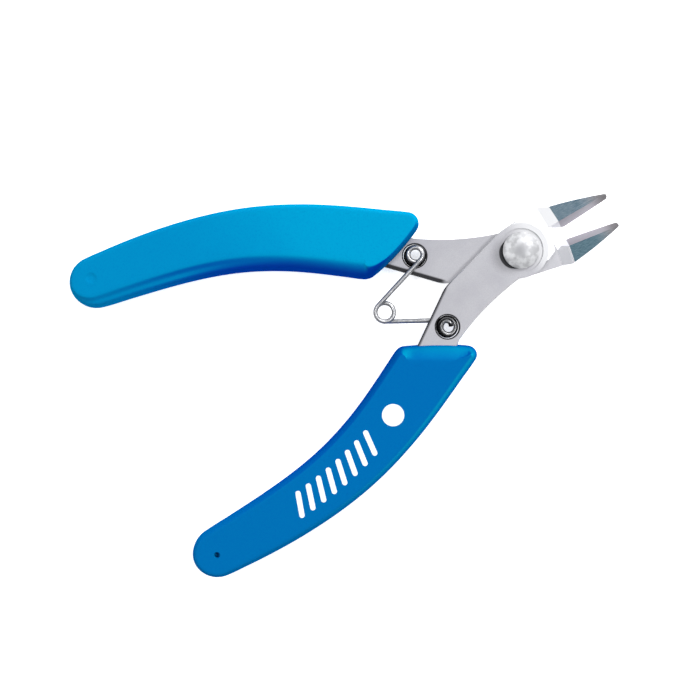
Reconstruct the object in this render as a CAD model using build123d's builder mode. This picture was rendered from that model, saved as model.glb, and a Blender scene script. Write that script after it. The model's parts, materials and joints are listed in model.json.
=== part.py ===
from build123d import *
import os
from math import asin, cos, degrees, hypot, radians, sin

# Sprue nippers: two stamped steel levers crossed at a rivet, each with a cutting jaw at one end
# and a moulded grip on the other, held open by one wire spring.
#
# The tool lies open on the plane Z = 0 with the pivot axis upright and the jaws towards +X.
# Each lever is drawn in its own plane, with the pivot at the origin and the handle towards -Y.
# The rear lever's plane is the front one turned half a turn about X, so the two are twins.
# Sizes are in millimetres and degrees.

# Whole tool
pivot_x = 37.7  # pivot axis to the middle of the open tool's length
grip_thickness = 10.5  # the thickest part, so also the height of the lying tool
closing_angle = 14.3  # how far one lever turns on the other before the edges meet
spring_wire = 1.1

# Levers
lever_thickness = 2.3
lever_gap = 0.03  # running gap between the two levers
shank_inner = [(-34.0, -12.6), (-19.9, -0.6), (-2.6, 6.05)]  # inner edge, grip to head
shank_outer = [(-28.4, -19.1), (-25.8, -17.0), (-21.8, -13.1)]  # outer edge, inside the grip
back_curve = [(-21.8, -13.1), (-8.2, -7.2), (5.0, -4.65)]  # outer edge, grip to nose
nose_corner = (7.4, -3.4)
nose_round = 1.0
elbow_round = 7.0  # inner edge, in front of the grip
shoulder_round = 12.0  # inner edge, where the shank runs into the head
tang_width = 6.5
tang_line = [(-29.0, -13.9), (-37.5, -20.4), (-55.3, -28.1), (-75.3, -32.8), (-90.0, -34.5)]
edge_break = 0.22
pad_radius = 6.4  # raised round pad that the rivet sits on
nose_step = 0.55  # drop from the pad to the nose beside it
nose_slope = 6.0

# Jaws: u runs along the closed cutting line from the pivot, v away from it
edge_drop = 0.87  # closed cutting line below the pivot
edge_tilt = 1.6  # closed cutting line against the tool's axis
jaw_back = -1.15  # flush side of both jaws, from the mid-plane
jaw_front = 1.5  # opposite side of both jaws, from the mid-plane
jaw_root = 8.45
jaw_outer = [(10.6, 6.0), (17.2, 3.85), (23.65, 1.3)]
jaw_tip = [(23.65, 1.3), (24.0, 0.6), (23.5, 0.015)]
jaw_relief = [(11.7, 0.015), (10.2, 0.65), (jaw_root, 1.9)]  # notch behind the cutting edges
jaw_lap = 0.5  # how far the jaw's steel runs back under the head
jaw_shoulder = 6.5  # outer edge at the jaw's root, from the pivot
facet_start = 11.1  # where the front face begins to thin towards the tip
facet_slope = 4.5
bevel_width = 1.75
edge_land = 0.08  # height of the honed land at the cutting edge
front_ramp = 1.5  # length of the slope from the front jaw's root down to the mid-plane
rear_ramp = 2.4  # the same on the rear jaw, up to its front face

# Rivet
rivet_radius = 2.5
rivet_running = 0.05  # radial clearance in the front lever
rivet_seat = 0.01  # radial clearance in the rear lever, where the tail is peened
head_radius = 4.3
head_edge = 0.75
head_rise = 1.0
seat_radius = 5.2
seat_depth = 0.45
tail_radius = 3.5
tail_rise = 0.2
tail_edge = 0.5

# Spring
eye_hole = (-23.12, -9.19)
eye_hole_radius = 2.75
eye_push = 0.3  # the eyes lean against the outer wall of their holes
eye_radius = 1.65  # of the wire's centre line, as is coil_radius
eye_turns = 0.9
eye_depth = 2.45
coil_x = -35.07
coil_radius = 2.2
leg_height = 0.87  # of the wire's centre line above or below the mid-plane

# Grips
grip_outer = [(-16.7, -17.2), (-38.4, -29.45), (-56.3, -36.5), (-75.0, -39.9)]
grip_inner = [(-76.2, -26.0), (-62.2, -22.7), (-49.2, -17.05), (-35.3, -8.75)]
grip_front = (-26.0, -11.9)
grip_end = (-93.9, -34.6)
grip_end_radius = 6.1
grip_end_lean = 7.7  # slope of the inner edge where it meets the round end
grip_inner_lean = 30.7  # slope of the inner edge at the front
grip_outer_lean = 29.4  # slope of the outer edge at the front
grip_tip_round = 2.6
grip_nose_round = 3.2
grip_edge_round = 2.4
tang_fit = 0.1  # slack between the moulding and the steel
pin_hole = (-94.1, -35.4)
pin_hole_radius = 0.6
pin_hole_depth = 2.0
dimple_depth = 0.3

pivot = Vector(pivot_x, 0, grip_thickness / 2)
front = Plane(origin=pivot, x_dir=(1, 0, 0), z_dir=(0, 0, 1))
rear = Plane(origin=pivot, x_dir=(1, 0, 0), z_dir=(0, 0, -1))
front_turn = closing_angle / 2 + edge_tilt  # each open jaw against its own lever's X
rear_turn = closing_angle / 2 - edge_tilt

# Wire line: the legs touch the coil on the outer side and their eyes on the other side.
lean_x = eye_hole[0] - coil_x
eye_lean = degrees(asin(-eye_hole[1] / hypot(lean_x, eye_hole[1])))
eye_x = eye_hole[0] + eye_push * cos(radians(eye_lean))
eye_y = -eye_hole[1] + eye_push * sin(radians(eye_lean))
arm_length = hypot(eye_x - coil_x, eye_y)
arm_angle = degrees(asin(eye_y / arm_length))
leg_angle = arm_angle - degrees(asin((coil_radius + eye_radius) / arm_length))
coil_share = (270 - leg_angle) / 360  # turns of the coil that belong to one arm


def turned(x, y, angle):
    """A point or direction of a lever's plane, turned about the pivot."""
    return Vector(x, y).rotate(Axis.Z, angle)


def round_corner(outline, point, radius):
    """Rounds the corner of an outline that is nearest to a point."""
    fillet(outline.vertices().sort_by_distance(point)[0], radius)


def lever_outline(turn, edge):
    """One lever from the end of its tang to the root of its jaw, seen from above."""
    with BuildSketch() as outline:
        with BuildLine():
            nose = turned(jaw_root, jaw_relief[2][1] + edge, turn)
            Polyline(*shank_inner, turned(jaw_root, jaw_shoulder, turn), nose)
            Polyline(nose, nose_corner, back_curve[2])
            ThreePointArc(*back_curve)
            Polyline(*shank_outer)
            Line(shank_outer[0], shank_inner[0])
        make_face()
        round_corner(outline, nose_corner, nose_round)
        round_corner(outline, shank_inner[1], elbow_round)
        round_corner(outline, shank_inner[2], shoulder_round)
        add(tang_outline(0))
    return outline.sketch


def tang_outline(slack):
    """The strap inside the grip, widened by some slack."""
    with BuildSketch() as outline:
        with BuildLine():
            Spline(*tang_line)
        trace(line_width=tang_width + 2 * slack)
    return outline.sketch


def slot_outline():
    """The slot in the grip: the part of the shank that goes into it, and the tang."""
    with BuildSketch() as outline:
        Polygon(*shank_inner[:2], *reversed(shank_outer), align=None)
        offset(amount=tang_fit, kind=Kind.INTERSECTION)
        add(tang_outline(tang_fit))
    return outline.sketch


def jaw_outline(side, shoulder):
    """One jaw seen from above: side is +1 above the cutting line and -1 below it."""
    root = jaw_root - jaw_lap
    with BuildSketch() as outline:
        with BuildLine():
            ThreePointArc(*jaw_outer)
            ThreePointArc(*jaw_tip)
            Line(jaw_tip[2], jaw_relief[0])
            ThreePointArc(*jaw_relief)
            Polyline(jaw_relief[2], (root, jaw_relief[2][1]), (root, shoulder))
            Polyline((root, shoulder), (jaw_root, shoulder), jaw_outer[0])
        make_face()
        if side < 0:
            mirror(about=Plane.XZ, mode=Mode.REPLACE)
    return outline.sketch


def jaw(turn, side, shoulder, ramp_face, ramp_length):
    """One open jaw, flush on its back and ground on its front down to the cutting edge."""
    line = Plane(origin=pivot, x_dir=(cos(radians(turn)), sin(radians(turn)), 0), z_dir=(0, 0, 1))
    line = line.move(Location(-edge_drop * line.y_dir))
    taper = Vector(sin(radians(facet_slope)), 0, cos(radians(facet_slope)))
    bevel = Vector(0, -side * (jaw_front - jaw_back - edge_land), bevel_width)
    ramp = Vector(-ramp_face, 0, ramp_length) * (1 if ramp_face > 0 else -1)
    with BuildPart() as blade:
        with BuildSketch(line.offset(jaw_back)):
            add(jaw_outline(side, shoulder))
        extrude(amount=jaw_front - jaw_back)
        cut_from(line, (facet_start, 0, jaw_front), taper)
        cut_from(line, (jaw_root, 0, jaw_back + edge_land), bevel)
        cut_from(line, (jaw_root, 0, 0), ramp)
    return blade.part


def cut_from(line, point, normal):
    """Cuts away what lies beyond a plane given in the jaw's own directions."""
    origin = line.from_local_coords(Vector(point))
    direction = line.from_local_coords(normal) - line.origin
    split(bisect_by=Plane(origin=origin, z_dir=direction), keep=Keep.BOTTOM)


def lever_plate(plane, turn, edge):
    """One lever without its jaw: shank, tang, head and the sloped nose in front of the pad."""
    top = lever_thickness
    with BuildPart() as plate:
        with BuildSketch(plane.offset(lever_gap / 2)):
            add(lever_outline(turn, edge))
        extrude(amount=top - lever_gap / 2)
        chamfer(plate.faces().sort_by(Axis(plane.origin, plane.z_dir))[-1].edges(), edge_break)
        along = plane.x_dir.rotate(Axis((0, 0, 0), plane.z_dir), turn)
        foot = plane.origin + plane.z_dir * (top - nose_step) + along * pad_radius
        slope = along.rotate(Axis((0, 0, 0), along.cross(plane.z_dir)), 90 - nose_slope)
        split(bisect_by=Plane(origin=foot, z_dir=slope), keep=Keep.BOTTOM)
        with BuildSketch(plane.offset(top - nose_step)):
            Circle(pad_radius)
        extrude(amount=nose_step)
    return plate.part


def grip_outline():
    """One grip seen from above, in its own lever's plane."""
    back = turned(-1, 0, grip_outer_lean)
    ahead = turned(1, 0, grip_inner_lean)
    with BuildSketch() as outline:
        with BuildLine():
            end = CenterArc(grip_end, grip_end_radius, 90 + grip_end_lean, 180 - grip_end_lean)
            Spline(*grip_outer, end @ 1, tangents=[back, (-1, 0)])
            Spline(end @ 0, *grip_inner, tangents=[turned(1, 0, grip_end_lean), ahead])
            ThreePointArc(grip_inner[-1], grip_front, grip_outer[0])
        make_face()
        round_corner(outline, grip_outer[0], grip_tip_round)
        round_corner(outline, grip_inner[-1], grip_nose_round)
    return outline.sketch


def grip(plane):
    """One moulded grip: soft edges, a slot for the tang and a locating-pin hole near its end."""
    half = grip_thickness / 2
    with BuildPart() as body:
        with BuildSketch(plane.offset(-half)):
            add(grip_outline())
        extrude(amount=grip_thickness)
        rims = body.faces().filter_by(Plane.XY).edges()
        fillet(rims, grip_edge_round)
        with BuildSketch(plane.offset(lever_gap / 2 - tang_fit / 2)):
            add(slot_outline())
        extrude(amount=lever_thickness + tang_fit - lever_gap / 2, mode=Mode.SUBTRACT)
        with BuildSketch(plane.offset(half)):
            with Locations(pin_hole):
                Circle(pin_hole_radius)
        extrude(amount=-pin_hole_depth, mode=Mode.SUBTRACT)
        with BuildSketch(plane.offset(-half)):
            with Locations(pin_hole):
                Circle(pin_hole_radius)
        extrude(amount=dimple_depth, mode=Mode.SUBTRACT)
    return body.part


def spring_arm(plane):
    """One arm of the spring in its lever's plane: half the coil, the leg and the eye."""
    out = Vector(-sin(radians(leg_angle)), cos(radians(leg_angle)), 0)
    coil_centre = Vector(coil_x, 0, 0)
    eye_centre = Vector(eye_x, eye_y, leg_height)
    coil_turns = Helix(leg_height / coil_share, leg_height, coil_radius, lefthand=True)
    eye_loop = Helix(eye_depth / eye_turns, eye_depth, eye_radius, lefthand=True)
    leg_foot = coil_centre + Vector(0, 0, leg_height) + out * coil_radius
    leg = Line(leg_foot, eye_centre - out * eye_radius)
    lines = [
        coil_turns.moved(Location(coil_centre)),
        leg,
        eye_loop.moved(Plane(origin=eye_centre, x_dir=-out, z_dir=(0, 0, -1)).location),
    ]
    with BuildPart() as arm:
        for line in lines:
            path = line.moved(plane.location)
            with BuildSketch(Plane(origin=path @ 0, z_dir=path % 0)):
                Circle(spring_wire / 2)
            sweep(path=path, is_frenet=True)
        with Locations(plane.from_local_coords(leg @ 0), plane.from_local_coords(leg @ 1)):
            Sphere(spring_wire / 2)
    return arm.part


os.makedirs("parts", exist_ok=True)

with BuildPart() as front_lever:
    add(lever_plate(front, front_turn, -edge_drop))
    add(jaw(front_turn, 1, jaw_shoulder + edge_drop, jaw_back, front_ramp))
    with Locations(front.offset(lever_thickness)):
        CounterBoreHole(rivet_radius + rivet_running, seat_radius, seat_depth)
        with Locations(eye_hole):
            Hole(eye_hole_radius)
front_lever.part.label = "front_lever"
export_step(front_lever.part, "parts/front_lever.step")

with BuildPart() as rear_lever:
    add(lever_plate(rear, rear_turn, edge_drop))
    add(jaw(-rear_turn, -1, jaw_shoulder - edge_drop, jaw_front, rear_ramp))
    with Locations(rear.offset(lever_thickness)):
        CounterSinkHole(rivet_radius + rivet_seat, tail_radius + rivet_seat, counter_sink_angle=90)
        with Locations(eye_hole):
            Hole(eye_hole_radius)
rear_lever.part.label = "rear_lever"
export_step(rear_lever.part, "parts/rear_lever.step")

with BuildPart() as pivot_rivet:
    seat = lever_thickness - seat_depth + lever_gap
    brow = seat + head_edge
    crown = brow + head_rise
    flare = tail_radius - rivet_radius - lever_thickness
    foot = tail_radius - tail_edge
    sole = -lever_thickness - tail_rise
    with BuildSketch(Plane(origin=pivot, x_dir=(1, 0, 0), z_dir=(0, -1, 0))):
        with BuildLine():
            Polyline((head_radius, brow), (head_radius, seat), (rivet_radius, seat))
            Polyline((rivet_radius, seat), (rivet_radius, flare), (tail_radius, -lever_thickness))
            Polyline((tail_radius, -lever_thickness), (foot, sole), (0, sole), (0, crown))
            TangentArc((0, crown), (head_radius, brow), tangent=(1, 0))
        make_face()
    revolve(axis=Axis(pivot, (0, 0, 1)))
pivot_rivet.part.label = "pivot_rivet"
export_step(pivot_rivet.part, "parts/pivot_rivet.step")

with BuildPart() as lower_grip:
    add(grip(front))
lower_grip.part.label = "lower_grip"
export_step(lower_grip.part, "parts/lower_grip.step")

with BuildPart() as upper_grip:
    add(grip(rear))
upper_grip.part.label = "upper_grip"
export_step(upper_grip.part, "parts/upper_grip.step")

with BuildPart() as spring_upper_arm:
    add(spring_arm(front))
spring_upper_arm.part.label = "spring_upper_arm"
export_step(spring_upper_arm.part, "parts/spring_upper_arm.step")

with BuildPart() as spring_lower_arm:
    add(spring_arm(rear))
spring_lower_arm.part.label = "spring_lower_arm"
export_step(spring_lower_arm.part, "parts/spring_lower_arm.step")
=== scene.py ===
import json
import math

import bmesh
import bpy
import numpy as np
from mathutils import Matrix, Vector


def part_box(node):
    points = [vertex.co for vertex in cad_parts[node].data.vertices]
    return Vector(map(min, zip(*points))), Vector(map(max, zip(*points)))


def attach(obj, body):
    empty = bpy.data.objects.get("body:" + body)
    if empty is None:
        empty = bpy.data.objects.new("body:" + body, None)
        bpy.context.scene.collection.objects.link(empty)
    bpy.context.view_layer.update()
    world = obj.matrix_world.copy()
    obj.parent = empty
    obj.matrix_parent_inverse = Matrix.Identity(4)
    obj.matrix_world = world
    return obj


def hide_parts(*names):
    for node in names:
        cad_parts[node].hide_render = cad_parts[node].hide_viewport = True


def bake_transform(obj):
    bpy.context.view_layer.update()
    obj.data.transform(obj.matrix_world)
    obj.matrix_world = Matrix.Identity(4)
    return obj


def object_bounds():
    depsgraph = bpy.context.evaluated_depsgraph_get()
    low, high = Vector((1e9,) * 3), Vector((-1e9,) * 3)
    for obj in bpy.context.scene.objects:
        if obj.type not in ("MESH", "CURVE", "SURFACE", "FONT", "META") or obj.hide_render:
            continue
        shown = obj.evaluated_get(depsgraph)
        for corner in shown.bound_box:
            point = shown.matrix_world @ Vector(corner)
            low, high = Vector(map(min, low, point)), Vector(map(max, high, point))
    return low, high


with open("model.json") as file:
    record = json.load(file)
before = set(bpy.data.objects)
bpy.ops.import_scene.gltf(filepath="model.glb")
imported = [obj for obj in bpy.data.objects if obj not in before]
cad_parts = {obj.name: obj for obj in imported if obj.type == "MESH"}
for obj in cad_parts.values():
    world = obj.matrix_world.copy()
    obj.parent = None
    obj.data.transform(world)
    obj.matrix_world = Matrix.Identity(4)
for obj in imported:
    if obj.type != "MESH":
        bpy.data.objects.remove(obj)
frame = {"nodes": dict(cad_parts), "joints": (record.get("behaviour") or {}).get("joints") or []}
cad_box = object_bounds()
scene = bpy.context.scene
joints = {joint["name"]: joint for joint in frame["joints"]}

MM = 0.001
PIVOT = Vector(joints["lever_pivot"]["pos_m"])
EYE = Vector(joints["spring_eye"]["pos_m"])
COIL = Vector(joints["spring_coil"]["pos_m"])
CLOSING = math.radians(joints["lever_pivot"]["range_deg"][1])
MIDDLE = PIVOT.z
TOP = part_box("lower_grip")[1].z

# the levers. Each distance is measured from the pivot
EDGE_DROP = 0.87 * MM  # down to the line of the closed cutting edges
EDGE_TILT = math.radians(1.6)  # of that line against the tool's length
JAW_ROOT, FACET_START, JAW_END = 8.0 * MM, 11.2 * MM, 23.5 * MM
HOLE_BACK, HOLE_ASIDE = 23.12 * MM, 9.19 * MM  # to the hole for the spring's eye
ELBOW_BACK, ELBOW_ASIDE = 19.9 * MM, 0.6 * MM  # to the corner in the inner edge of the shank
SHANK_RUN, SHANK_FALL = 14.1, 12.0  # the slope of that edge behind the corner

# the grips
RIM = 2.4 * MM  # height of the CAD solid's rounding
LINE_STEP = 0.28 * MM
PIN_BACK, PIN_ASIDE = 5.9 * MM, 5.3 * MM  # the moulding pin's mark, from the grip's end and outer side
# how far each grip's outline stands outside its CAD solid's, in millimetres, along its outer side, its
# inner side and its slanted front end: at the rear, and at the front
TRIM = {"lower_grip": {"outer": (0.3, -0.35), "inner": (-1.0, 0.35), "front": (-0.45, -0.45)},
        "upper_grip": {"outer": (-0.2, -0.2), "inner": (0.05, 0.25), "front": (0.3, 0.3)}}
# rings of a face inside its rim: how much further in, and the drop, in millimetres
FACE = ((1.1, 0.0), (0.5, 0.008))
SEAM_HEIGHT, SEAM_WIDTH = 0.07 * MM, 0.2 * MM  # of the line where the mould's halves meet
LEVEL = 0.99999  # upward part of a face's direction, above which it is shaded flat
# a rim's profile: the share of its width, and the drop below the face in millimetres, first plain and
# then with a ledge
ROLL = ((1.0, 0.02, 0.03), (0.92, 0.06, 0.10), (0.82, 0.16, 0.28), (0.70, 0.36, 0.62), (0.55, 0.70, 0.80),
        (0.40, 1.15, 0.90), (0.27, 1.65, 1.05), (0.16, 2.2, 1.5), (0.08, 2.75, 2.2), (0.02, 3.4, 3.2),
        (0.0, 4.2, 4.2))
# the pin's marks as (radius, height above the face) in millimetres: a hole on one face, a dimple on the other
PIN_HOLE = ((0.25, -2.0), (0.55, -1.9), (0.58, -0.30), (0.78, 0.02), (0.9, 0.4))
PIN_DIMPLE = ((0.3, -0.20), (0.7, -0.17), (1.1, -0.06), (1.35, 0.01), (1.5, 0.4))
# linear colours of the plastic: at the rear end, at the front end, and the painted shade's deep blue on the
# rims that face away from the light. The upper grip's lighter, more cyan blues are painted light
GRIP_BLUES_WITH_PAINTED_LIGHT = {"lower_grip": ((0, 0.13, 0.365, 1), (0, 0.122, 0.365, 1), (0, 0.055, 0.35, 1)),
         "upper_grip": ((0, 0.215, 0.45, 1), (0, 0.285, 0.52, 1), (0, 0.044, 0.36, 1))}

# the spring
WIRE, COIL_RADIUS, EYE_RADIUS = 0.55 * MM, 2.2 * MM, 1.7 * MM
LEG_HEIGHT, EYE_DEPTH, EYE_TURNS = 0.87 * MM, 2.45 * MM, 2.2
WIDE_RADIUS = 2.13 * MM  # of an eye's widest turn
TAIL_CURL = 1.1 * MM  # how far the end of the lower eye turns in
EYE_SWING = math.radians(20)  # how far an eye turns in its hole as the tool closes

# the print
INK_GAP, INK_THICKNESS = 0.004 * MM, 0.026 * MM
SPINE = (-36 * MM, -11 * MM)  # the stretch of the lower grip's middle line that carries the bars
BARS, FIRST_BAR, BAR_STEP = 8, 5, 7  # the last two in sixtieths of that stretch
BAR_REACH, BAR_LEAN, BAR_RADIUS = 2.35 * MM, 0.45, 0.62 * MM
DOT_PLACE, DOT_RADIUS = -5.6 * MM, 2.6 * MM

# the picture
VIEW_TURN = math.radians(-24.4)
VIEW_WIDTH = 164.85 * MM
DISTANCE = 0.42
SENSOR = 36
FLOOR = 3  # half its width
AIM = Vector((PIVOT.x - 46.17 * MM, -4.71 * MM, MIDDLE))


# ---------------------------------------------------------------- materials
class Shader:
    """A node material, with short calls for the nodes that it is wired from."""

    def __init__(self, name):
        self.material = bpy.data.materials.new(name)
        self.material.use_nodes = True
        self.tree = self.material.node_tree
        self.surface = self.tree.nodes["Principled BSDF"]
        where = self.node("ShaderNodeTexCoord")
        self.place = where.outputs["Object"]
        self.x, self.y, self.z = self.parts(self.place)
        self.facing_x, self.facing_y, self.facing_z = self.parts(where.outputs["Normal"])

    def link(self, source, target):
        """Wires a socket to a target, or sets the target to a value. None leaves it alone."""
        if isinstance(source, bpy.types.NodeSocket):
            self.tree.links.new(source, target)
        elif source is not None:
            target.default_value = source

    def node(self, kind, inputs=(), **settings):
        """A node with some of its inputs filled and its settings made."""
        node = self.tree.nodes.new(kind)
        for key, value in settings.items():
            setattr(node, key, value)
        for key, value in dict(inputs).items():
            self.link(value, node.inputs[key])
        return node

    def parts(self, vector):
        """A vector's three numbers."""
        return tuple(self.node("ShaderNodeSeparateXYZ", {"Vector": vector}).outputs)

    def noise(self, scale, detail=3.0, stretch=None):
        """Noise in the object's own metres. A stretch scales each axis."""
        place = self.place
        if stretch:
            place = self.node("ShaderNodeMapping", {"Vector": place, "Scale": stretch}).outputs[0]
        node = self.node("ShaderNodeTexNoise", {"Vector": place, "Scale": scale, "Detail": detail})
        return node.outputs["Fac"]

    def math(self, operation, a, b=None):
        return self.node("ShaderNodeMath", {0: a, 1: b}, operation=operation).outputs[0]

    def both(self, *masks):
        """The product of masks."""
        result = masks[0]
        for mask in masks[1:]:
            result = self.math("MULTIPLY", result, mask)
        return result

    def either(self, a, b):
        return self.math("MAXIMUM", a, b)

    def vector_math(self, operation, a, b):
        return self.node("ShaderNodeVectorMath", {0: a, 1: b}, operation=operation)

    def spread(self, value, low, high, start=0.0, end=1.0):
        """Maps a value from low..high to start..end with a smooth step. Low may be above high."""
        inputs = {"Value": value, "From Min": low, "From Max": high, "To Min": start, "To Max": end}
        return self.node("ShaderNodeMapRange", inputs, interpolation_type="SMOOTHSTEP").outputs[0]

    def mix(self, share, a, b):
        """Colour a with a share of colour b. A Mix node's colour sockets are numbers 6 and 7."""
        return self.node("ShaderNodeMix", {0: share, 6: a, 7: b}, data_type="RGBA").outputs[2]

    def bump(self, height, distance, strength, under=None):
        inputs = {"Height": height, "Distance": distance, "Strength": strength, "Normal": under}
        return self.node("ShaderNodeBump", inputs).outputs[0]

    def axes(self, origin, angle):
        """Distances along and across a line through an origin, seen from above."""
        turned = self.node("ShaderNodeVectorRotate", {"Vector": self.place, "Center": origin,
                           "Angle": -angle}, rotation_type="Z_AXIS")
        x, y, _ = self.parts(turned.outputs[0])
        return self.math("SUBTRACT", x, origin[0]), self.math("SUBTRACT", y, origin[1])

    def distance(self, centre):
        """The distance from a point in space."""
        return self.vector_math("DISTANCE", self.place, centre).outputs["Value"]

    def distance_above(self, x, y):
        """The distance from an upright line, seen from above."""
        flat = self.vector_math("MULTIPLY", self.place, (1, 1, 0)).outputs[0]
        return self.vector_math("DISTANCE", flat, (x, y, 0)).outputs["Value"]

    def finish(self, **values):
        """Fills the shader's sockets, which are named with underscores for spaces."""
        for key, value in values.items():
            self.link(value, self.surface.inputs[key.replace("_", " ")])
        return self.material


def rgb(r, g, b):
    """A display colour, 0 to 255, as the linear colour that a node takes."""
    return tuple((c / 255 / 12.92 if c < 11 else ((c / 255 + 0.055) / 1.055) ** 2.4)
                 for c in (r, g, b)) + (1.0,)


def lever_steel(name, turn, side):
    """Satin blasted steel with sheared edges and a ground jaw, with painted highlights and painted shade and
    shadow.

    The jaw points along turn. The side is 1 for the front lever and -1 for the rear one.
    """
    s = Shader(name)
    front = side > 0
    grain, cloud = s.noise(5200, 4), s.noise(90)
    edge = PIVOT + EDGE_DROP * Vector((math.sin(turn), -math.cos(turn), 0))
    along, _ = s.axes((edge.x, edge.y, 0), turn)
    slant = s.math("SUBTRACT", 1.0, s.math("ABSOLUTE", s.facing_z))

    # the blasted face, with a painted highlight that makes it lighter towards the jaw
    tone = s.mix(s.spread(cloud, 0.35, 0.65), (0.35, 0.345, 0.37, 1), (0.405, 0.40, 0.42, 1))
    tone = s.mix(s.spread(grain, 0.3, 0.7, 0.0, 0.35), tone, (0.27, 0.27, 0.30, 1))
    painted_jaw_highlight = s.spread(along, -1.5 * MM, 4.5 * MM, 0.0, 1.0 if front else 0.25)
    tone = s.mix(painted_jaw_highlight, tone, (0.56, 0.56, 0.57, 1))

    # the sheared edges, with painted shade that makes them dark on the inner side behind the elbow, and
    # painted light that keeps them light elsewhere
    jaw = s.spread(along, JAW_ROOT - 0.4 * MM, JAW_ROOT)
    sheared = s.both(s.spread(slant, 0.12, 0.28), s.math("SUBTRACT", 1.0, jaw))
    light_from = (-16.5 if front else -14.0) * MM
    painted_edge_shade = s.both(s.spread(s.both(s.facing_y, side), -0.35, 0.1),
                        s.spread(along, light_from, light_from - 3.0 * MM, 0.2, 1.0))
    edge_tone_lit_and_shaded = s.mix(painted_edge_shade, (0.55, 0.55, 0.56, 1), (0.05, 0.05, 0.058, 1))
    tone = s.mix(s.both(sheared, 0.9), tone, edge_tone_lit_and_shaded)

    # the ramp from the head to the ground part of the jaw, light with a painted highlight
    before_facet = s.spread(along, FACET_START + 0.2 * MM, FACET_START - 0.1 * MM)
    ramp = s.both(jaw, s.spread(slant, 0.02, 0.08), before_facet)
    tone = s.mix(s.both(ramp, 0.6 if front else 1.0), tone, (0.86, 0.86, 0.90, 1))

    # the ground faces, with a thin blue oxide that is worn off towards the tip, and the honed bevel
    ground = s.spread(along, FACET_START - 0.15 * MM, FACET_START)
    streak = s.spread(s.noise(1, 3, (900, 9000, 900)), 0.35, 0.65)
    dull, clear = ((58, 79, 90), (92, 106, 116)) if front else ((42, 68, 79), (68, 91, 101))
    blued = s.mix(streak, rgb(*dull), rgb(*clear))
    bare = s.mix(streak, rgb(104, 104, 108), rgb(132, 130, 134))
    blued = s.mix(s.spread(along, JAW_END - 6.5 * MM, JAW_END - 0.5 * MM, 0.0, 0.8), blued, bare)
    tone = s.mix(s.both(ground, s.spread(s.facing_z, 0.8, 0.9)), tone, blued)
    tone = s.mix(s.both(ground, s.spread(s.facing_z, 0.8, 0.7), 0.8), tone, rgb(150, 146, 156))
    tone = s.mix(s.spread(along, JAW_END - 4.5 * MM, JAW_END, 0.0, 0.85), tone, rgb(84, 81, 82))

    # painted shade: black in the spring's hole and along the inner edge of the shank, and the rivet head's
    # painted shadow beside it
    painted_shade = s.spread(s.distance_above(PIVOT.x - HOLE_BACK, -side * HOLE_ASIDE), 3.08 * MM, 2.98 * MM)
    elbow = (PIVOT.x - ELBOW_BACK, -side * ELBOW_ASIDE, 0)
    behind, inside = s.axes(elbow, math.atan2(-side * SHANK_FALL, -SHANK_RUN))
    width, share = (0.75 * MM, 0.75) if front else (1.15 * MM, 0.98)
    painted_edge_shadow = s.spread(s.both(inside, side), width, width - 0.45 * MM, 0.0, share)
    painted_shade = s.either(painted_shade, s.both(painted_edge_shadow, s.spread(behind, -1.5 * MM, 0.5 * MM)))
    if front:
        # the rivet head's painted shadow, a crescent on the side away from the light, and a fainter painted
        # shade beyond it
        seat = PIVOT + Vector((0, 0, 2.1 * MM))
        for shift, outer, inner, share in ((1.71, 3.78, 3.5, 0.97), (3.2, 5.2, 2.0, 0.4)):
            near = s.distance(seat - Vector((shift * MM, 0, 0)))
            painted_shade = s.either(painted_shade, s.spread(near, outer * MM, inner * MM, 0.0, share))
    tone = s.mix(painted_shade, tone, (0.006, 0.006, 0.008, 1))

    bump = s.bump(cloud, 0.04 * MM, 0.5, s.bump(grain, 0.02 * MM, 0.6))
    return s.finish(Base_Color=tone, Metallic=0.6, Normal=bump,
                    Roughness=s.spread(grain, 0.3, 0.7, 0.38, 0.5))


def rivet_steel():
    """Turned steel, mottled by handling, with a painted dark reflection in the middle of the head."""
    s = Shader("rivet_steel_turned")
    mottle, scratch = s.noise(650, 4), s.noise(1, 4, (14000, 2500, 2500))
    tone = s.mix(s.spread(mottle, 0.38, 0.62), (0.40, 0.40, 0.41, 1), (0.60, 0.60, 0.61, 1))
    # a painted dark reflection: darker in the middle of the head
    dull = s.spread(s.distance_above(PIVOT.x, PIVOT.y), 2.6 * MM, 0.4 * MM)
    tone = s.mix(dull, tone, (0.33, 0.33, 0.345, 1))
    bump = s.bump(scratch, 0.01 * MM, 0.25, s.bump(mottle, 0.06 * MM, 0.45))
    return s.finish(Base_Color=tone, Metallic=0.25, Normal=bump,
                    Roughness=s.spread(scratch, 0.3, 0.7, 0.36, 0.48))


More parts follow.
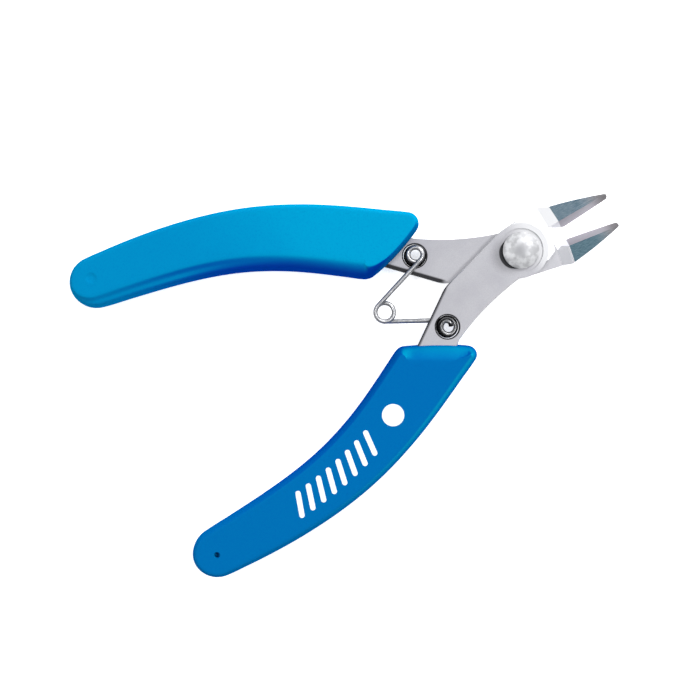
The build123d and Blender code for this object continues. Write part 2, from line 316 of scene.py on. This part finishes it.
def wire_steel():
    """Drawn wire, with painted shade that makes it dark on its sides and black deep in the holes of the
    levers.
    """
    s = Shader("spring_wire_drawn")
    drawn, spots = s.noise(3000, 4), s.noise(700, 2)
    tone = s.mix(s.spread(spots, 0.35, 0.7), (0.34, 0.34, 0.35, 1), (0.48, 0.48, 0.49, 1))
    # painted shade: black deep in the holes, on the lower eye's tail and round it, and dark on the wire's
    # sides
    in_eye = s.spread(s.math("ABSOLUTE", s.y), 6.0 * MM, 6.5 * MM)
    level = s.both(s.math("SIGN", s.y), -0.2 * MM)
    above = s.math("SUBTRACT", s.math("SUBTRACT", s.z, MIDDLE + 0.5 * MM), level)
    painted_shade = s.both(in_eye, s.spread(above, 0.2 * MM, -0.2 * MM))
    from_lower_eye = s.distance_above(EYE.x, -EYE.y)
    painted_shade = s.either(painted_shade, s.spread(from_lower_eye, 1.25 * MM, 1.0 * MM))
    painted_shade = s.either(painted_shade, s.spread(from_lower_eye, 3.2 * MM, 2.4 * MM, 0.0, 0.5))
    painted_shade = s.either(painted_shade, s.spread(s.math("ABSOLUTE", s.facing_z), 0.6, 0.2, 0.0, 0.85))
    tone = s.mix(painted_shade, tone, (0.008, 0.008, 0.01, 1))
    return s.finish(Base_Color=tone, Metallic=0.9, Normal=s.bump(drawn, 0.01 * MM, 0.5),
                    Roughness=s.spread(drawn, 0.3, 0.7, 0.26, 0.4))


def grip_plastic(name, side, rear, fore, deep):
    """Satin moulded plastic. Its blue drifts from end to end, partly as painted light; painted shade makes it
    deep blue on the rims that face away from the light, and a painted highlight lightens the forward rims.
    """
    s = Shader(name)
    low, high = cad_box[0].x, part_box("lower_grip")[1].x
    # the drift from rear to front is partly painted light, lighter towards the front, and partly random
    drift_and_painted_light = s.math("ADD", s.spread(s.x, low + 12 * MM, high), s.spread(s.noise(38), 0.3, 0.7, -0.15, 0.15))
    tone = s.mix(s.spread(drift_and_painted_light, 0.0, 1.0), rear, fore)
    shown = s.both(s.facing_z, side)
    # painted shade: deep blue on the rims that face the inner side, away from the light, weaker towards the
    # rear
    painted_shade_band = s.both(s.spread(s.both(s.facing_y, -side), 0.1, 0.7), s.spread(shown, -0.5, 0.0, 0.5, 1.0),
                      s.spread(s.x, low, low + 40 * MM, 0.15, 1.0), s.spread(s.facing_x, 0.1, 0.4, 1.0, 0.55))
    tone = s.mix(painted_shade_band, tone, deep)
    # painted highlight: a lighter blue on the forward-facing rims on the slim-rimmed face
    painted_front_highlight = s.both(s.spread(s.facing_x, 0.0, 0.5), s.spread(s.both(s.facing_z, -side), 0.3, 0.7))
    tone = s.mix(painted_front_highlight, tone, (0, 0.25, 0.44, 1))
    tone = s.mix(s.spread(s.noise(2600, 4), 0.45, 0.75, 0.0, 0.15), tone, rgb(0, 70, 160))
    skin, scuff = s.noise(1500, 2), s.noise(1, 5, (5000, 700, 900))
    bump = s.bump(scuff, 0.01 * MM, 0.35, s.bump(skin, 0.03 * MM, 0.5))
    shine = s.spread(s.math("ABSOLUTE", s.facing_z), 0.6, 0.97, 0.0, 0.3)
    return s.finish(Base_Color=tone, Normal=bump, Roughness=s.spread(scuff, 0.35, 0.65, 0.42, 0.54),
                    IOR=1.2, Specular_IOR_Level=shine, Specular_Tint=(0.1, 0.7, 1.0, 1))


def print_ink():
    """White ink, with the speckle of a pad print."""
    s = Shader("print_white")
    dots = s.noise(4200)
    tone = s.mix(s.spread(dots, 0.35, 0.8), rgb(250, 252, 255), rgb(205, 225, 240))
    return s.finish(Base_Color=tone, Roughness=s.spread(dots, 0.3, 0.7, 0.5, 0.65),
                    Normal=s.bump(dots, 0.01 * MM, 0.5))


def floor_paper():
    """White paper that is lit from below as well, as the photo's floor is pure white."""
    s = Shader("floor_paper")
    fibre = s.noise(260, 4)
    tone = s.mix(s.spread(fibre, 0.3, 0.7), (0.93, 0.93, 0.93, 1), (0.96, 0.96, 0.96, 1))
    return s.finish(Base_Color=tone, Roughness=s.spread(fibre, 0.3, 0.7, 0.85, 0.95),
                    Specular_IOR_Level=0.1, Emission_Color=(1, 1, 1, 1), Emission_Strength=0.6)


# ---------------------------------------------------------------- meshes
def mesh_object(name, vertices, faces, material=None, smooth=True):
    """A new object in the scene, with one material slot."""
    mesh = bpy.data.meshes.new(name)
    mesh.from_pydata([tuple(v) for v in vertices], [], faces)
    mesh.validate()
    made = bpy.data.objects.new(name, mesh)
    scene.collection.objects.link(made)
    mesh.materials.append(material)
    if smooth:
        mesh.shade_smooth()
    return made


def ring_faces(rings, sides):
    """The faces of a closed shape whose vertices lie in rings, one ring after another."""
    faces = []
    for k in range(rings - 1):
        for i in range(sides):
            j = (i + 1) % sides
            faces.append((k * sides + i, k * sides + j, (k + 1) * sides + j, (k + 1) * sides + i))
    faces.append(tuple(reversed(range(sides))))
    faces.append(tuple(range((rings - 1) * sides, rings * sides)))
    return faces


def smooth_line(points, step):
    """A smooth closed line through points, cut into even steps."""
    before, after = np.roll(points, 1, 0), np.roll(points, -1, 0)
    back = np.linalg.norm(points - before, axis=1)[:, None]
    ahead = np.linalg.norm(after - points, axis=1)[:, None]
    slope = ((after - points) / ahead * back + (points - before) / back * ahead) / (back + ahead)
    fine = []
    for t in np.linspace(0, 1, 24, endpoint=False):
        fine.append(points * (2 * t**3 - 3 * t**2 + 1) + after * (3 * t**2 - 2 * t**3)
                    + (slope * (t**3 - 2 * t**2 + t) + np.roll(slope, -1, 0) * (t**3 - t**2)) * ahead)
    ring = np.stack(fine, 1).reshape(-1, 2)
    ring = np.vstack([ring, ring[:1]])
    lengths = np.concatenate([[0], np.cumsum(np.linalg.norm(np.diff(ring, axis=0), axis=1))])
    places = np.linspace(0, lengths[-1], int(lengths[-1] / step), endpoint=False)
    return np.stack([np.interp(places, lengths, ring[:, k]) for k in range(2)], 1)


def wall_line(node):
    """The outline of a grip's upright wall, counter-clockwise, read from the CAD solid."""
    mesh = frame["nodes"][node].data
    spots = {v.index: (round(v.co.x, 7), round(v.co.y, 7)) for v in mesh.vertices
             if abs(v.co.z - (TOP - RIM)) < 0.01 * MM}
    beside = {}
    for e in mesh.edges:
        a, b = (spots.get(i) for i in e.vertices)
        if a and b and a != b:
            beside.setdefault(a, set()).add(b)
            beside.setdefault(b, set()).add(a)
    line, last = [min(beside)], None
    while len(line) == 1 or line[-1] != line[0]:
        here = line[-1]
        line.append(min(p for p in beside[here] if p != last))
        last = here
    points = np.array(line[:-1])
    x, y = points.T
    return points if np.sum(x * np.roll(y, -1) - np.roll(x, -1) * y) > 0 else points[::-1]


def inward(line):
    """The unit vectors that point into a closed counter-clockwise line."""
    along = np.roll(line, -1, 0) - np.roll(line, 1, 0)
    along /= np.linalg.norm(along, axis=1)[:, None]
    return np.stack([-along[:, 1], along[:, 0]], 1)


def ring_inside(line, depth):
    """The line moved inward, by a depth for each point. Where its sides would cross, the points gather."""
    moved = line + inward(line) * depth[:, None]
    gaps = np.linalg.norm(moved[:, None] - line[None], axis=2).min(1)
    good = np.flatnonzero(gaps > depth - 0.001 * MM)
    result = moved.copy()
    for a, b in zip(good, np.roll(good, -1)):
        for k in range(1, (b - a) % len(line)):
            result[(a + k) % len(line)] = (moved[a] + moved[b]) / 2
    return result


def evened(values, times):
    """Values round a closed line, each averaged with its neighbours."""
    for _ in range(times):
        values = values / 2 + (np.roll(values, 1, 0) + np.roll(values, -1, 0)) / 4
    return values


def relaxed(line, times):
    """An open line with its ends held, each other point averaged with its neighbours."""
    for _ in range(times):
        line[1:-1] = line[1:-1] / 2 + (line[:-2] + line[2:]) / 4
    return line


def grip_sides(line, side):
    """Each point's way outward, its place from rear (0) to front (1), and how far it is on the
    inner side, on the outer side and on the slanted front end."""
    outward = -inward(line)
    along = (line[:, 0] - line[:, 0].min()) / np.ptp(line[:, 0])
    inner, outer = np.clip(-side * outward[:, 1], 0, 1), np.clip(side * outward[:, 1], 0, 1)
    front_end = np.clip(2.7 * inner * np.clip(outward[:, 0], 0, 1), 0, 1)
    return outward, along, inner, outer, front_end


def widest_rim(line):
    """How wide a rim can be at each point before its inner line folds, from how sharply the line bends."""
    step = np.roll(line, -1, 0) - line
    turn = np.append(np.diff(np.unwrap(np.arctan2(step[:, 1], step[:, 0]))), 0.0)
    bend = evened(np.maximum(turn, 0.0) / np.linalg.norm(step, axis=1), 20)
    return 0.95 / np.maximum(bend, 1.0)


def grip_mesh(name, node, side):
    """A moulded grip: flat faces, rims that roll over into the sides, a seam line round the middle."""
    line = smooth_line(wall_line(node), LINE_STEP)
    outward, along, inner, outer, front_end = grip_sides(line, side)
    trim = {key: np.interp(along, (0, 1), ends) for key, ends in TRIM[node].items()}
    trim = outer * trim["outer"] + inner * (1 - front_end) * trim["inner"] + front_end * trim["front"]
    line = smooth_line(line + outward * evened(trim * MM, 40)[:, None], LINE_STEP)
    outward, along, inner, outer, front_end = grip_sides(line, side)
    count, most = len(line), widest_rim(line)

    # the deep rim is on the face where the inner side shows it, and has the ledge near the rear
    turned_forward = np.clip(outward[:, 0] / 0.35, 0, 1)
    deep_rim = 1.0 + inner * (1.6 + 2.4 * along) * (1 - turned_forward)
    slim_rim = 1.0 + (inner * 0.7 + outer * 0.9) * along + front_end * 2.4
    ledge = np.clip((0.6 - along) / 0.3, 0, 1) * inner
    rows = []
    for rim, stepped, sign in ((deep_rim, ledge, side), (slim_rim, 0 * ledge, -side)):
        width = evened(np.minimum(rim * MM, most), 40)
        half = [(ring_inside(line, width + extra * MM), np.full(count, drop * MM)) for extra, drop in FACE]
        for share, drop, low in ROLL:
            half.append((ring_inside(line, width * share), (drop + (low - drop) * stepped) * MM))
        half.append((line + outward * SEAM_HEIGHT, np.full(count, MIDDLE - SEAM_WIDTH / 2)))
        heights = [(ring, MIDDLE + sign * (MIDDLE - drop)) for ring, drop in half]
        rows += heights if not rows else heights[::-1]
    vertices = [(x, y, z) for ring, heights in rows for (x, y), z in zip(ring, heights)]
    grip = mesh_object(name, vertices, ring_faces(len(rows), count))

    work = bmesh.new()
    work.from_mesh(grip.data)
    bmesh.ops.remove_doubles(work, verts=work.verts, dist=0.02 * MM)
    bmesh.ops.dissolve_degenerate(work, edges=work.edges, dist=0.005 * MM)
    bmesh.ops.recalc_face_normals(work, faces=work.faces)
    work.to_mesh(grip.data)
    work.free()
    return grip, line


def lathe(profile, centre, sides=48):
    """A closed turned shape from (radius, height) pairs in millimetres, with its axis along Z."""
    turns = [2 * math.pi * i / sides for i in range(sides)]
    vertices = [(centre[0] + r * MM * math.cos(turn), centre[1] + r * MM * math.sin(turn), centre[2] + z * MM)
                for r, z in profile for turn in turns]
    return mesh_object("cutter", vertices, ring_faces(len(profile), sides))


def cut(piece, cutter):
    """Takes the cutter's shape out of a piece, and removes the cutter."""
    modifier = piece.modifiers.new("cut", "BOOLEAN")
    modifier.object, modifier.solver = cutter, "EXACT"
    mesh = bpy.data.meshes.new_from_object(piece.evaluated_get(bpy.context.evaluated_depsgraph_get()))
    piece.modifiers.remove(modifier)
    piece.data = mesh
    bpy.data.objects.remove(cutter)


def tube(name, path, radius, material, sides=14):
    """A round wire along a path, with its ends cut square and slightly broken."""
    ahead = np.gradient(path, axis=0)
    ahead /= np.linalg.norm(ahead, axis=1)[:, None]
    across = np.cross(ahead[0], (0.0, 0.0, 1.0))
    vertices = []
    for k, (point, direction) in enumerate(zip(path, ahead)):
        across = across - direction * (across @ direction)
        across /= np.linalg.norm(across)
        other = np.cross(direction, across)
        size = radius * (0.8 if k in (0, len(path) - 1) else 1.0)
        for i in range(sides):
            turn = 2 * math.pi * i / sides
            vertices.append(point + size * (math.cos(turn) * across + math.sin(turn) * other))
    return mesh_object(name, vertices, ring_faces(len(path), sides), material)


# ---------------------------------------------------------------- grips
outlines = {}
for node, body, side in (("lower_grip", "front_half", -1), ("upper_grip", "rear_half", 1)):
    grip, outlines[node] = grip_mesh(node + "_skin", node, side)
    low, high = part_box(node)
    pin = (low.x + PIN_BACK, (low.y if side < 0 else high.y) - side * PIN_ASIDE)
    over, under = (PIN_HOLE, PIN_DIMPLE) if side < 0 else (PIN_DIMPLE, PIN_HOLE)
    cut(grip, lathe(over, (*pin, TOP)))
    cut(grip, lathe([(r, -z) for r, z in reversed(under)], (*pin, 0.0)))
    grip.data.materials.clear()
    grip.data.materials.append(grip_plastic(node + "_plastic", side, *GRIP_BLUES_WITH_PAINTED_LIGHT[node]))
    grip.data.shade_smooth()
    grip.data.set_sharp_from_angle(angle=math.radians(38))
    for face in grip.data.polygons:
        if abs(face.normal.z) > LEVEL:
            face.use_smooth = False
    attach(grip, body)
    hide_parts(node)


# ---------------------------------------------------------------- spring
def ease(value, low, high):
    """0 below low, 1 above high, and a smooth step between them."""
    share = min(max((value - low) / (high - low), 0.0), 1.0)
    return share * share * (3 - 2 * share)


def around(centre, radius, turn):
    """The point of a circle at a turn from X."""
    return centre + radius * np.array([math.cos(turn), math.sin(turn)])


def spring_arm(flip):
    """Half the spring's line, from the middle of the coil to the end of one eye.

    It is the upper arm, or the lower one where flip turns it over.
    """
    reach = EYE - COIL
    length = math.hypot(reach.x, reach.y)
    lean = math.atan2(reach.y, reach.x) - math.asin((COIL_RADIUS + EYE_RADIUS) / length)
    out = np.array([-math.sin(lean), math.cos(lean)])
    coil, eye = np.array(COIL[:2]), np.array(EYE[:2])
    points = []
    for t in np.linspace(0, 1, 90):
        points.append((*around(coil, COIL_RADIUS, (lean - 1.5 * math.pi) * t), LEG_HEIGHT * t))
    foot, head = coil + out * COIL_RADIUS, eye - out * EYE_RADIUS
    for t in np.linspace(0, 1, 60)[1:]:
        points.append((*(foot + (head - foot) * t), LEG_HEIGHT))

    # the eye leans on one wall of the hole, while its wide turn is in the middle of the hole,
    # as it lies when the tool is half closed
    off = np.array([PIVOT.x - HOLE_BACK, HOLE_ASIDE]) - eye
    c, s = math.cos(EYE_SWING / 2), math.sin(EYE_SWING / 2)
    hole = eye + np.array([off[0] * c - off[1] * s, off[0] * s + off[1] * c])
    start = math.atan2(-out[1], -out[0])
    for t in np.linspace(0, 1, 220)[1:]:
        wide = ease(t, 0.02, 0.12) - ease(t, 0.5, 0.62) if flip else ease(t, 0.4, 0.5)
        radius = EYE_RADIUS + (WIDE_RADIUS - EYE_RADIUS) * wide
        if flip:
            radius -= TAIL_CURL * ease(t, 0.86, 1.0)
        place = around(eye + (hole - eye) * wide, radius, start + 2 * math.pi * EYE_TURNS * t)
        points.append((*place, LEG_HEIGHT - EYE_DEPTH * t))
    line = np.array(points)
    if flip:
        line[:, 1:] *= -1
    return line + np.array([0, 0, MIDDLE])


wire = relaxed(np.vstack([spring_arm(True)[::-1], spring_arm(False)[1:]]), 12)
spring = tube("spring_wire_bent", wire, WIRE, wire_steel())
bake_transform(spring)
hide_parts("spring_upper_arm", "spring_lower_arm")

# ---------------------------------------------------------------- levers and rivet
half = CLOSING / 2
for node, turn, side in (("front_lever", half + EDGE_TILT, 1), ("rear_lever", -half + EDGE_TILT, -1)):
    frame["nodes"][node].material_slots[0].material = lever_steel(node + "_steel", turn, side)
frame["nodes"]["pivot_rivet"].material_slots[0].material = rivet_steel()


# ---------------------------------------------------------------- print
def middle_of_grip(x):
    """The point half-way across the lower grip at x."""
    ring = outlines["lower_grip"]
    near = ring[np.abs(ring[:, 0] - x) < 0.4 * MM]
    split = near[:, 1].mean()
    return np.array([x, (near[near[:, 1] > split, 1].mean() + near[near[:, 1] <= split, 1].mean()) / 2])


def ink(name, outline, material):
    """A thin flat layer of ink on the lower grip's front face, from a closed outline."""
    work = bmesh.new()
    ring = [work.verts.new((x, y, TOP + INK_GAP)) for x, y in outline]
    edges = [work.edges.new(pair) for pair in zip(ring, ring[1:] + ring[:1])]
    bmesh.ops.triangle_fill(work, edges=edges, use_beauty=True)
    raised = bmesh.ops.extrude_face_region(work, geom=list(work.faces))["geom"]
    raised = [item for item in raised if isinstance(item, bmesh.types.BMVert)]
    bmesh.ops.translate(work, verts=raised, vec=(0, 0, INK_THICKNESS))
    bmesh.ops.recalc_face_normals(work, faces=work.faces)
    mesh = bpy.data.meshes.new(name)
    work.to_mesh(mesh)
    work.free()
    made = bpy.data.objects.new(name, mesh)
    scene.collection.objects.link(made)
    mesh.materials.append(material)
    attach(made, "front_half")


white = print_ink()
spine = relaxed(np.array([middle_of_grip(x) for x in np.linspace(*SPINE, 60)]), 40)
direction = np.gradient(spine, axis=0)
direction /= np.linalg.norm(direction, axis=1)[:, None]
normal = np.stack([-direction[:, 1], direction[:, 0]], 1)
for k in range(BARS):
    place = FIRST_BAR + BAR_STEP * k
    reach = (normal[place] + direction[place] * BAR_LEAN) * BAR_REACH
    beam = reach / np.linalg.norm(reach)
    cross = np.array([beam[1], -beam[0]])
    outline = []
    for end in (1, -1):
        for turn in np.linspace(0, math.pi, 12):
            rounded = BAR_RADIUS * (math.cos(turn) * cross + math.sin(turn) * beam)
            outline.append(spine[place] + end * (reach + rounded))
    ink(f"print_bar_{k + 1}", outline, white)
centre = middle_of_grip(DOT_PLACE)
turns = np.linspace(0, 2 * math.pi, 64, endpoint=False)
ink("print_dot", [around(centre, DOT_RADIUS, turn) for turn in turns], white)

# ---------------------------------------------------------------- camera, light and floor
lens = bpy.data.cameras.new("camera")
lens.sensor_width = SENSOR
lens.lens = SENSOR * DISTANCE / VIEW_WIDTH
lens.clip_start, lens.clip_end = 0.01, 10
camera = bpy.data.objects.new("camera", lens)
scene.collection.objects.link(camera)
camera.location = AIM + Vector((0, 0, DISTANCE))
camera.rotation_euler = (0, 0, VIEW_TURN)
scene.camera = camera


def from_picture(right, up, height):
    """A vector from the picture's right and up directions, and the height."""
    c, s = math.cos(VIEW_TURN), math.sin(VIEW_TURN)
    return Vector((right * c - up * s, right * s + up * c, height))


def lamp(name, right, up, height, size, power):
    """A soft square light, placed by the picture's right and up directions and aimed at the tool."""
    data = bpy.data.lights.new(name, "AREA")
    data.size, data.energy = size, power
    made = bpy.data.objects.new(name, data)
    scene.collection.objects.link(made)
    made.location = AIM + from_picture(right, up, height)
    made.rotation_euler = (AIM - made.location).to_track_quat("-Z", "Y").to_euler()
    made.visible_camera = False


lamp("key", 0.45, 0.62, 0.75, 0.35, 6.0)
lamp("right", 0.36, 0.02, 0.78, 0.16, 1.5)
lamp("left", -0.36, 0.0, 0.78, 0.16, 1.2)

# the studio is brighter overhead and to the picture's upper right
world = bpy.data.worlds.new("studio")
scene.world = world
world.use_nodes = True
sky = world.node_tree
where = sky.nodes.new("ShaderNodeTexCoord")
toward = sky.nodes.new("ShaderNodeVectorMath")
toward.operation = "DOT_PRODUCT"
toward.inputs[1].default_value = from_picture(0.25, 0.58, 0.77)
level = sky.nodes.new("ShaderNodeMapRange")
level.interpolation_type = "SMOOTHSTEP"
for key, value in (("From Min", -0.1), ("From Max", 0.85), ("To Min", 0.1), ("To Max", 0.9)):
    level.inputs[key].default_value = value
sky.links.new(where.outputs["Generated"], toward.inputs[0])
sky.links.new(toward.outputs["Value"], level.inputs["Value"])
sky.links.new(level.outputs[0], sky.nodes["Background"].inputs["Strength"])
sky.nodes["Background"].inputs["Color"].default_value = (0.95, 0.97, 1.0, 1)

corners = [(-FLOOR, -FLOOR, 0), (FLOOR, -FLOOR, 0), (FLOOR, FLOOR, 0), (-FLOOR, FLOOR, 0)]
floor = mesh_object("floor", corners, [(0, 1, 2, 3)], floor_paper(), smooth=False)
scene.view_settings.view_transform = "Standard"
